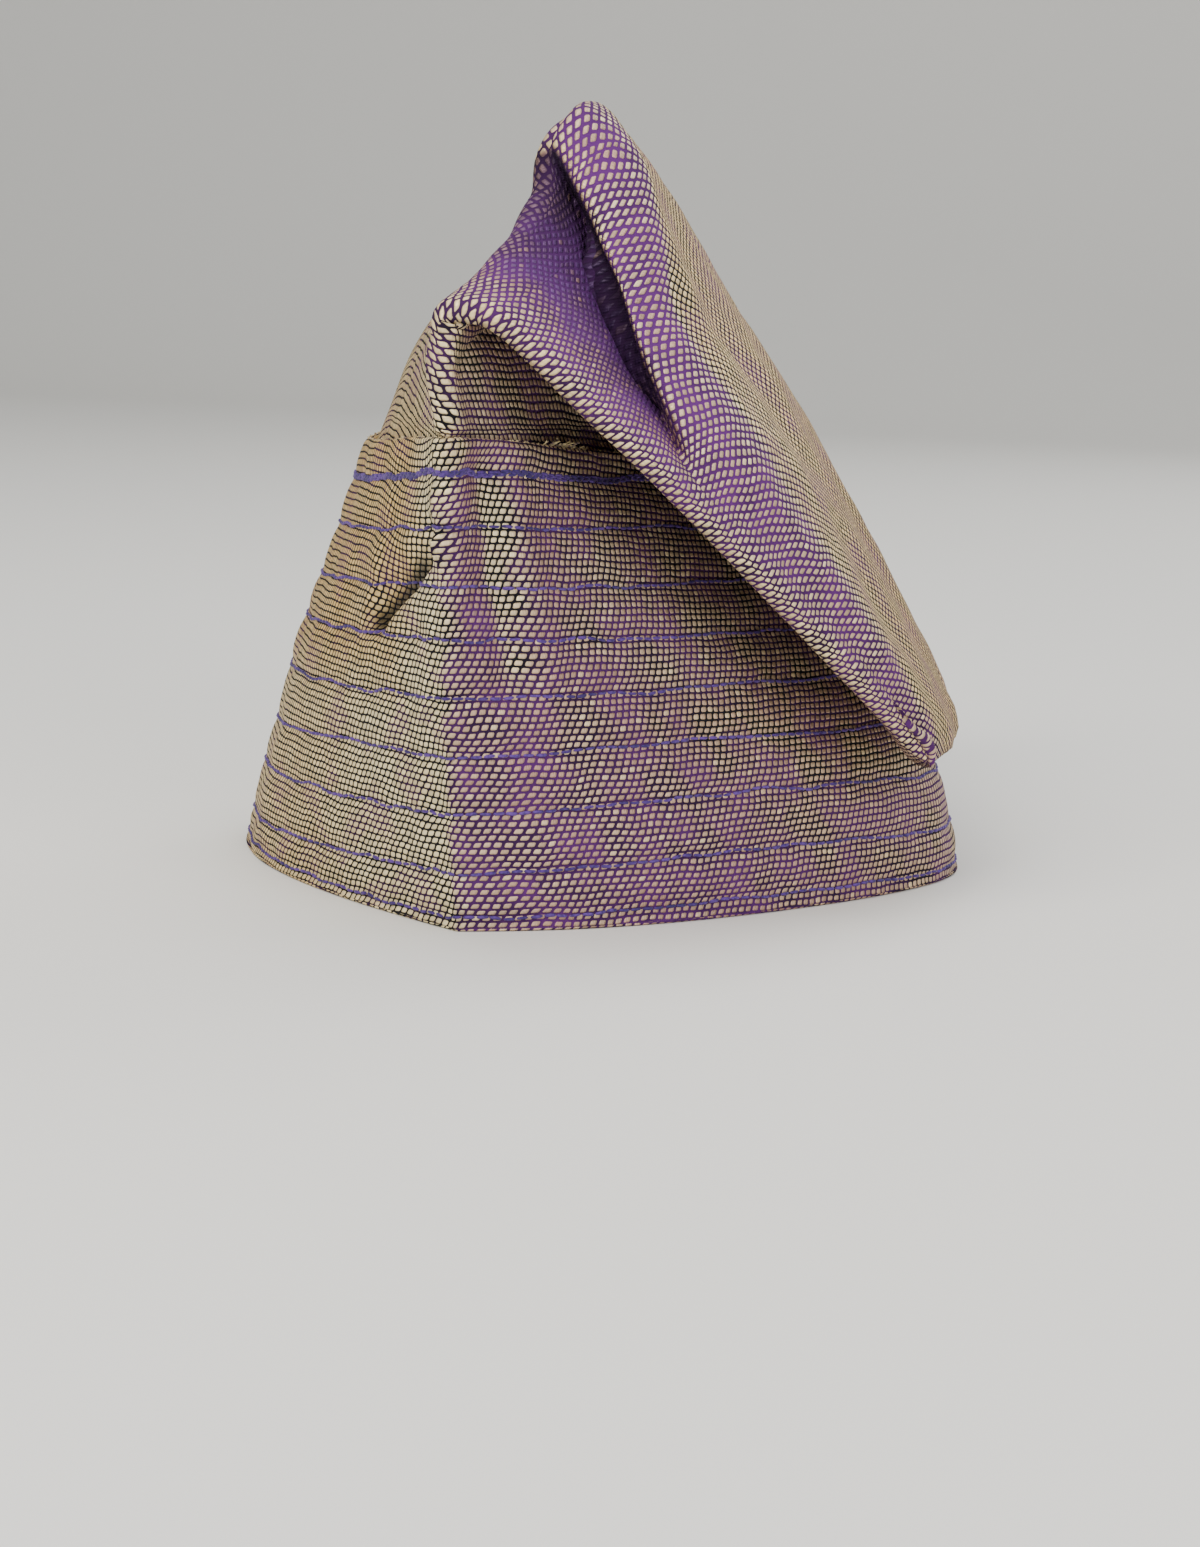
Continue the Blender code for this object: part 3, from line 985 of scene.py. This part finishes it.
    def blended(self, points: np.ndarray, standing: int) -> np.ndarray:
        """Returns the cloth's tones at each point."""
        turn = np.linspace(-1.0, 1.0, points.shape[1])
        share = np.interp(np.abs(turn), self.form.knots(self.form.net(Side.OUTER), 1),
                          [fold.share for fold in self.form.outer_folds])
        stations = np.maximum(np.arange(len(points)) - standing + 1, 0) / self.rows_between
        return blend_tones(self.tones, stations[:, None], (np.sign(turn) * share)[None, :])

    def thicken(self, crown: bpy.types.Object, points: np.ndarray, standing: int) -> None:
        """Gives the cloth its wall, thinner inside each crease so that it doesn't cross itself.

        Args:
            crown: The crown's cloth.
            points: Its points.
            standing: How many rows stand behind the band.
        """
        ring = points[:, :-1]
        creases = (0, self.places_across - 1)
        away = np.minimum(*(np.linalg.norm(ring - points[:, [crease]], axis=-1) for crease in creases))
        weights = np.clip(away / self.crease_room, self.crease_wall, 1.0)
        weights[standing:] *= self.folded_wall
        weights = weights.ravel().round(2)
        group = crown.vertex_groups.new(name="wall")
        for level in np.unique(weights):
            group.add(np.flatnonzero(weights == level).tolist(), float(level), "REPLACE")
        wall = crown.modifiers.new("Wall", "SOLIDIFY")
        wall.thickness = self.wall * MM
        wall.offset = -1.0
        wall.vertex_group = "wall"


@dataclass
class Band:
    """The turned-up outer cuff, stitched to the crown in nine rows."""

    form: TubeForm
    gap: float = 0.4
    wall: float = 2.0
    top: float = 96.0
    left_dip: float = 5.0
    right_dip: float = 8.0
    levels: int = 97
    places_across: int = 150
    row_step: float = 1.2
    inner_stride: int = 6
    edge_steps: int = 6
    hem_squash: float = 0.6
    quilt_depth: float = 0.55
    quilt_width: float = 1.9
    # How the painted shadow along the left panel's pinch lies beside the dent, how wide and dark it is, and
    # how it fades in.
    pinch_shift: float = 5.0
    pinch_width: float = 2.6
    pinch_dark: float = 1.3
    pinch_deepest: float = 0.95
    pinch_fade: float = 4.0
    swells: tuple[Swell, ...] = (Swell(0.22, 26.0, 8), Swell(0.1, 9.0, 9))
    rows: tuple[RowHeights, ...] = (
        RowHeights(82.5, 86.0, 89.6, 86.5, 83.5),
        RowHeights(72.5, 76.0, 79.3, 77.0, 73.5),
        RowHeights(61.5, 65.4, 68.0, 66.0, 62.8),
        RowHeights(52.3, 55.5, 57.8, 56.0, 53.3),
        RowHeights(41.0, 44.0, 46.5, 46.0, 43.5),
        RowHeights(28.5, 33.0, 35.0, 35.8, 32.8),
        RowHeights(19.0, 21.5, 23.5, 25.0, 21.5),
        RowHeights(7.5, 10.0, 11.8, 13.2, 10.2),
        RowHeights(2.2, 2.4, 2.5, 3.4, 2.2),
    )
    # Stations are heights and places go round from the front crease, both in millimetres, with the outer side
    # below nought. The floats' tones are the threads' own colours, set place by place to paint the shot
    # cloth's
    # sheen: cream and gold on the outer side, which faces the light, mauve and violet on the inner side.
    # Beside the crease on the inner side, a more violet strip in the groove and a paler one on the ridge next
    # to it paint the shade and light of that fold.
    tones: tuple[ToneRow, ...] = (
        ToneRow(0, (
            Tone(-150, 0.05, 0.6, 0.05), Tone(-60, 0, 0.5, 0.05), Tone(-30, 0, 0.15, 0),
            Tone(-1, 0, 0.05, 0.05), Tone(1, 0.45, 0.05, 0.68), Tone(50, 0.55, 0.1, 0.7),
            Tone(85, 0.5, 0.35, 0.45), Tone(150, 0.4, 0.5, 0.3))),
        ToneRow(40, (
            Tone(-150, 0, 0.5, 0.05), Tone(-60, 0, 0.45, 0), Tone(-30, 0, 0.1, 0),
            Tone(-1, 0, 0.05, 0), Tone(1, 0.5, 0.1, 0.5), Tone(14, 0.55, 0.1, 0.52),
            Tone(50, 0.54, 0.2, 0.32), Tone(85, 0.45, 0.35, 0.25), Tone(150, 0.4, 0.4, 0.3))),
        ToneRow(52, (
            Tone(-150, 0, 0.85, 0.05), Tone(-60, 0, 0.8, 0.05), Tone(-22, 0, 0.55, 0),
            Tone(-14, 0, 0.1, 0), Tone(-1, 0, 0.05, 0.05), Tone(1, 0.45, 0.1, 0.45),
            Tone(12, 0.65, 0.1, 0.6), Tone(16, 0.2, 0.15, 0.25), Tone(20, 0.52, 0.15, 0.4),
            Tone(60, 0.38, 0.05, 0.35), Tone(150, 0.38, 0.2, 0.3))),
        ToneRow(80, (
            Tone(-150, 0, 0.85, 0.05), Tone(-20, 0, 0.75, 0.05), Tone(-12, 0, 0.45, 0.05),
            Tone(-9, 0, 0.1, 0.05), Tone(1, 0, 0.1, 0.1), Tone(4, 0.55, 0.1, 0.5),
            Tone(11, 0.65, 0.1, 0.55), Tone(14, 0.1, 0.1, 0.15), Tone(20, 0.15, 0.1, 0.2),
            Tone(25, 0.52, 0.1, 0.4), Tone(60, 0.32, 0.02, 0.38), Tone(150, 0.38, 0.2, 0.3))),
        ToneRow(97, (
            Tone(-150, 0, 0.85, 0.05), Tone(-20, 0, 0.75, 0.05), Tone(-9, 0, 0.15, 0.05),
            Tone(4, 0.1, 0.3, 0.1), Tone(8, 0.5, 0.2, 0.45), Tone(30, 0.38, 0.08, 0.4),
            Tone(60, 0.35, 0.05, 0.4), Tone(150, 0.4, 0.3, 0.25))),
    )

    def turns(self) -> np.ndarray:
        """Returns the angle of each place round the band, from the back crease past the left side."""
        return np.linspace(0.0, 2 * np.pi, 2 * self.places_across - 1)

    def row_height(self, row: RowHeights) -> np.ndarray:
        """Returns how high a row of stitches lies at each place round the band, in millimetres."""
        stations = np.array([0.0, 0.25, 0.375, 0.5, 0.625, 0.75, 1.0]) * 2 * np.pi
        heights = [row.crease, row.left, row.left_front, row.crease, row.right_front, row.right, row.crease]
        return TubeForm.smooth(stations, np.array(heights, float)[:, None], self.turns())[:, 0]

    def top_height(self) -> np.ndarray:
        """Returns how high the top edge lies at each place round the band, in millimetres."""
        turn = self.turns()
        dip = np.where(turn < np.pi, self.left_dip, self.right_dip)
        return self.top - dip * np.sin(turn) ** 2

    def surface(self, heights: np.ndarray, proud: np.ndarray | float) -> np.ndarray:
        """Returns points on the band at given heights.

        Args:
            heights: The heights by row and place round, in millimetres.
            proud: How far outside the crown each point stands, in millimetres.

        Returns:
            The points by row and place round, in millimetres.
        """
        levels = np.linspace(0.0, self.form.ovals[-1].height, self.levels)
        strips = self.form.standing(levels, np.linspace(0.0, 1.0, self.places_across))
        at = np.clip(heights / levels[-1] * (self.levels - 1), 0.0, self.levels - 1 - 1e-6)
        low = at.astype(int)
        share = (at - low)[..., None]
        place = np.broadcast_to(np.arange(strips.shape[1]), heights.shape)
        point, way = (
            (1 - share) * net[low, place] + share * net[low + 1, place] for net in (strips, outward(strips))
        )
        point = point + np.asarray(proud)[..., None] * way
        point[..., 2] = heights
        return point

    def quilting(self, heights: np.ndarray) -> np.ndarray:
        """Returns how far the rows of stitches draw the cloth in at each point, in millimetres."""
        drawn = np.zeros_like(heights)
        for row in self.rows:
            away = heights - self.row_height(row)
            drawn = np.maximum(drawn, self.quilt_depth * np.exp(-((away / self.quilt_width) ** 2)))
        return drawn

    def outer_proud(self, heights: np.ndarray) -> np.ndarray:
        """Returns how far outside the crown the band's outer face stands at each point, in millimetres."""
        places = np.linspace(-HALF_GIRTH, HALF_GIRTH, heights.shape[-1])
        return self.gap + self.wall - self.quilting(heights) + unevenness(places, heights, self.swells)

    def build(self) -> bpy.types.Object:
        """Returns the band's cloth, as one closed loop from the hem over the top edge and down inside."""
        top = self.top_height()
        edge = self.wall / 2
        hem_height = edge * self.hem_squash
        climb = np.linspace(0.0, 1.0, int(self.top / self.row_step) + 1)[:, None]
        face = top - edge * (1 + self.hem_squash)
        outer_heights = hem_height + climb * face
        outer = self.surface(outer_heights, self.outer_proud(outer_heights))
        top_arc = self.arc(top - edge, edge, 0.0, 1.0)
        inner = self.surface((1 - climb[:: self.inner_stride]) * face + hem_height, self.gap)
        hem = self.arc(np.full_like(top, hem_height), edge, np.pi, self.hem_squash)
        points = np.concatenate([outer, top_arc, inner, hem])
        weave = cloth_lengths(np.concatenate([points, points[:1]]), self.places_across - 1)
        weave[..., 0] = weave[..., 0].mean(axis=0)
        around = weave[: len(points), :, 0]
        tones = blend_tones(self.tones, points[..., 2], around)
        # Painted shadow along the pinch of the left panel darkens the band's colour.
        tones[..., 3] = np.maximum(tones[..., 3], self.pinch_shadow(points, around))
        return add_cloth("band_cloth", points, weave, tones, True)

    def pinch_shadow(self, points: np.ndarray, around: np.ndarray) -> np.ndarray:
        """Returns the painted shadow along the sharp pinch of the left panel, which darkens the cloth's
        colour.
        """
        pinch = self.form.dents[1]
        start, end = ((-along - self.pinch_shift, height) for along, height in (pinch.start, pinch.end))
        share, away = beside_line(np.stack([around, points[..., 2]], axis=-1), start, end)
        painted_shade = np.clip(self.pinch_dark * np.exp(-((away / self.pinch_width) ** 2)), 0.0, self.pinch_deepest)
        return painted_shade * np.clip(self.pinch_fade * share, 0.0, 1.0)

    def arc(self, centre: np.ndarray, radius: float, start: float, squash: float) -> np.ndarray:
        """Returns the rounded edge of the band.

        Args:
            centre: How high the middle of the edge lies at each place round.
            radius: Half the band's thickness.
            start: The angle where the half turn starts, from the outer face.
            squash: How tall the edge is for its thickness.

        Returns:
            The points by angle and place round.
        """
        angles = np.linspace(start, start + np.pi, self.edge_steps + 2)[1:-1, None]
        heights = centre[None, :] + squash * radius * np.sin(angles)
        proud = self.gap + radius + radius * np.cos(angles)
        return self.surface(heights, np.broadcast_to(proud, heights.shape))


@dataclass
class Stitching:
    """The rows of machine stitches on the band. The top row has several strands."""

    band: Band
    stitch: float = 2.7
    space: float = 0.15
    stations: int = 6
    radius: float = 0.34
    sides: int = 6
    lift: float = 0.16
    sink: float = 0.45
    taper: float = 0.45
    wander: float = 0.3
    wander_length: float = 15.0
    strand_wander: float = 0.1
    strand_wander_length: float = 5.0
    top_radius: float = 0.31
    top_strands: tuple[float, ...] = (-0.4, -0.1, 0.15, 0.4)

    def build(self) -> bpy.types.Object:
        """Returns all the rows of stitches as one mesh."""
        rows = [
            self.row(row, offset, 20 * number, strand)
            for number, row in enumerate(self.band.rows)
            for strand, offset in enumerate((0.0,) if number else self.top_strands)
        ]
        return add_threads("stitched_rows", np.concatenate(rows))

    def row(self, row: RowHeights, offset: float, seed: int, strand: int) -> np.ndarray:
        """Returns the stitches of one row.

        Args:
            row: The row's heights.
            offset: How far above the row the strand lies, in millimetres.
            seed: Which unevenness the row has.
            strand: Which strand of the row it is.

        Returns:
            Points by stitch, station along the stitch and side round the thread.
        """
        places = np.linspace(-HALF_GIRTH, HALF_GIRTH, 2 * self.band.places_across - 1)
        level = np.zeros(1)
        heights = self.band.row_height(row) + offset
        heights += self.wander * waves(places, level, self.wander_length, seed)
        heights += self.strand_wander * waves(places, level, self.strand_wander_length, seed + strand + 1)
        heights = heights[None, :]
        strip = self.band.surface(heights, self.band.outer_proud(heights) + self.lift)
        path = strip[0]
        lengths = line_lengths(path)
        count = int(lengths[-1] / self.stitch)
        random = np.random.default_rng(seed + strand)
        starts = np.arange(count) + random.uniform(-0.05, 0.05, count) + random.uniform(0, 1)
        starts = starts * lengths[-1] / count
        along = np.linspace(0.0, 1.0, self.stations)
        at = (starts[:, None] + along * (lengths[-1] / count - self.space)) % lengths[-1]
        way = unit(along_line(at, lengths, outward(strip)[0]))
        ends = np.abs(2 * along - 1) ** 3
        centre = along_line(at, lengths, path) - (self.sink * ends)[None, :, None] * way
        radius = self.top_radius if offset else self.radius
        size = radius * (1 - self.taper * ends)[None, :, None, None]
        size = size * random.uniform(0.85, 1.15, (count, 1, 1, 1))
        return tube(centre, way, size, self.sides)


@dataclass
class Fray:
    """The loose yarns along the band's raw top edge, most of them where it has frayed in a small notch."""

    band: Band
    notch: float = 39.0
    notch_spread: float = 3.4
    notch_yarns: int = 34
    edge_yarns: int = 900
    longest: float = 2.6
    shortest: float = 0.9
    root_depth: float = 0.4
    radius: float = 0.13
    sides: int = 5
    stations: int = 6

    def build(self) -> bpy.types.Object:
        """Returns the loose yarns as one mesh."""
        random = np.random.default_rng(21)
        roots = self.band.top_height()[None, :] - self.root_depth
        edge = self.band.surface(roots, np.full_like(roots, self.band.gap + self.band.wall / 2))[0]
        out = outward(self.band.surface(roots, np.zeros_like(roots)))[0]
        lengths = line_lengths(edge)
        crease = lengths[self.band.places_across - 1]
        at = np.concatenate([crease + self.notch + random.normal(0.0, self.notch_spread, self.notch_yarns),
                             random.uniform(0.0, lengths[-1], self.edge_yarns)])
        long = np.concatenate([random.uniform(0.4, 1.0, self.notch_yarns) * self.longest,
                               random.uniform(0.4, 1.0, self.edge_yarns) * self.shortest])
        way = unit(along_line(at, lengths, out))
        up = np.array([0.0, 0.0, 1.0])
        lean = random.uniform(-0.9, 0.9, (len(at), 1))
        aim = unit(np.cross(way, up) * lean + up * random.uniform(0.3, 1.0, (len(at), 1)) + 0.35 * way)
        droop = random.uniform(0.1, 0.7, (len(at), 1)) * (way - 0.8 * up)
        along = np.linspace(0.0, 1.0, self.stations)[None, :, None]
        curve = long[:, None, None] * (aim[:, None] * along + 0.5 * droop[:, None] * along**2)
        centre = along_line(at, lengths, edge)[:, None] + curve
        return add_threads("frayed_edge", tube(centre, way[:, None] + 0 * centre, self.radius, self.sides))


@dataclass
class Studio:
    """The pale floor and backdrop, the soft lights and the camera."""

    azimuth: float = 15.12
    elevation: float = 8.30
    roll: float = 2.00
    distance: float = 800.0
    focal: float = 3616.0
    aside: float = -1.4
    lifted: float = 16.7
    sensor: float = 36.0
    floor_half: float = 4.0
    backdrop_back: float = 2.4
    backdrop_high: float = 2.6
    sweep: float = 0.5
    sweep_steps: int = 13
    floor_colour: str = "#e9e8e4"
    air_colour: str = "#eef0f0"
    air_strength: float = 0.45
    aim: Point = (0.0, 0.0, 0.08)
    lamps: tuple[Lamp, ...] = (
        Lamp("key", (-0.40, -1.25, 1.15), 0.9, 24.0, "#fffaf2"),
        Lamp("fill", (1.2, -1.3, 0.7), 0.9, 15.0, "#faf8ff"),
        Lamp("overhead", (0.1, 0.1, 1.6), 1.2, 14.0, "#ffffff"),
        Lamp("rear", (0.6, 1.4, 0.9), 1.0, 8.0, "#ffffff"),
    )

    def add_camera(self) -> None:
        """Adds the camera at the photographed angle."""
        angle, rise, roll = np.radians([self.azimuth, self.elevation, self.roll])
        back = Vector((np.sin(angle) * np.cos(rise), -np.cos(angle) * np.cos(rise), np.sin(rise)))
        right = Vector((np.cos(angle), np.sin(angle), 0.0))
        up = back.cross(right)
        place = self.aside * right + self.lifted * up + self.distance * back
        place += Vector((FOOTPRINT_SHIFT, 0.0, 0.0))
        turned = np.cos(roll) * right + np.sin(roll) * up
        upright = -np.sin(roll) * right + np.cos(roll) * up
        data = bpy.data.cameras.new("camera")
        data.sensor_fit = "HORIZONTAL"
        data.sensor_width = self.sensor
        data.lens = self.sensor * self.focal / IMAGE_WIDTH
        camera = add_object("camera", data)
        basis = Matrix((turned, upright, back)).transposed()
        camera.matrix_world = Matrix.Translation(place * MM) @ basis.to_4x4()
        bpy.context.scene.camera = camera

    def add_light(self, lamp: Lamp) -> None:
        """Adds a soft square light that faces the cap."""
        data = bpy.data.lights.new(lamp.name, "AREA")
        data.size = lamp.side
        data.energy = lamp.watts
        data.color = linear(lamp.colour)[:3]
        light = add_object(lamp.name, data)
        light.location = lamp.place
        light.rotation_euler = (Vector(lamp.place) - Vector(self.aim)).to_track_quat("Z", "Y").to_euler()

    def add_sweep(self) -> None:
        """Adds the floor, which turns up into the backdrop behind the cap."""
        bend = np.linspace(0.0, np.pi / 2, self.sweep_steps)
        corner = self.backdrop_back - self.sweep
        profile = [(-self.floor_half, 0.0)]
        profile += [(corner + self.sweep * np.sin(a), self.sweep * (1 - np.cos(a))) for a in bend]
        profile.append((self.backdrop_back, self.backdrop_high))
        points = [(x, y, z) for y, z in profile for x in (-self.floor_half, self.floor_half)]
        faces = [(2 * i, 2 * i + 1, 2 * i + 3, 2 * i + 2) for i in range(len(profile) - 1)]
        sweep = add_mesh("sweep", points, faces)
        # Matt paper: the floor shows soft shadows and no gloss.
        material, _, shader = new_material("matt_paper")
        set_inputs(shader, {"Base Color": linear(self.floor_colour), "Roughness": 0.9})
        sweep.data.materials.append(material)

    def build(self) -> None:
        """Builds the whole studio."""
        self.add_camera()
        self.add_sweep()
        for lamp in self.lamps:
            self.add_light(lamp)
        world = bpy.data.worlds.new("studio")
        world.use_nodes = True
        background = world.node_tree.nodes["Background"]
        set_inputs(background, {"Color": linear(self.air_colour), "Strength": self.air_strength})
        bpy.context.scene.world = world


def main() -> None:
    """Loads the frame, builds each piece in order and says what was made."""
    logging.basicConfig(level=logging.INFO, format="%(message)s")
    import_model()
    form = TubeForm()
    cloth = ShotCloth().build()

    crown = Crown(form).build()
    crown.data.materials.append(cloth)
    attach(crown, "root")
    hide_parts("crown")
    LOG.info("crown_cloth: %d faces", len(crown.data.polygons))

    cuff = Band(form)
    band = cuff.build()
    band.data.materials.append(cloth)
    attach(band, "root")
    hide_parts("band")
    LOG.info("band_cloth: %d faces", len(band.data.polygons))

    rows = Stitching(cuff).build()
    rows.data.materials.append(SPUN_THREAD.build())
    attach(rows, "root")
    LOG.info("stitched_rows: %d faces", len(rows.data.polygons))

    fray = Fray(cuff).build()
    fray.data.materials.append(LOOSE_YARN.build())
    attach(fray, "root")
    LOG.info("frayed_edge: %d faces", len(fray.data.polygons))

    Studio().build()


if __name__ == "__main__":
    main()
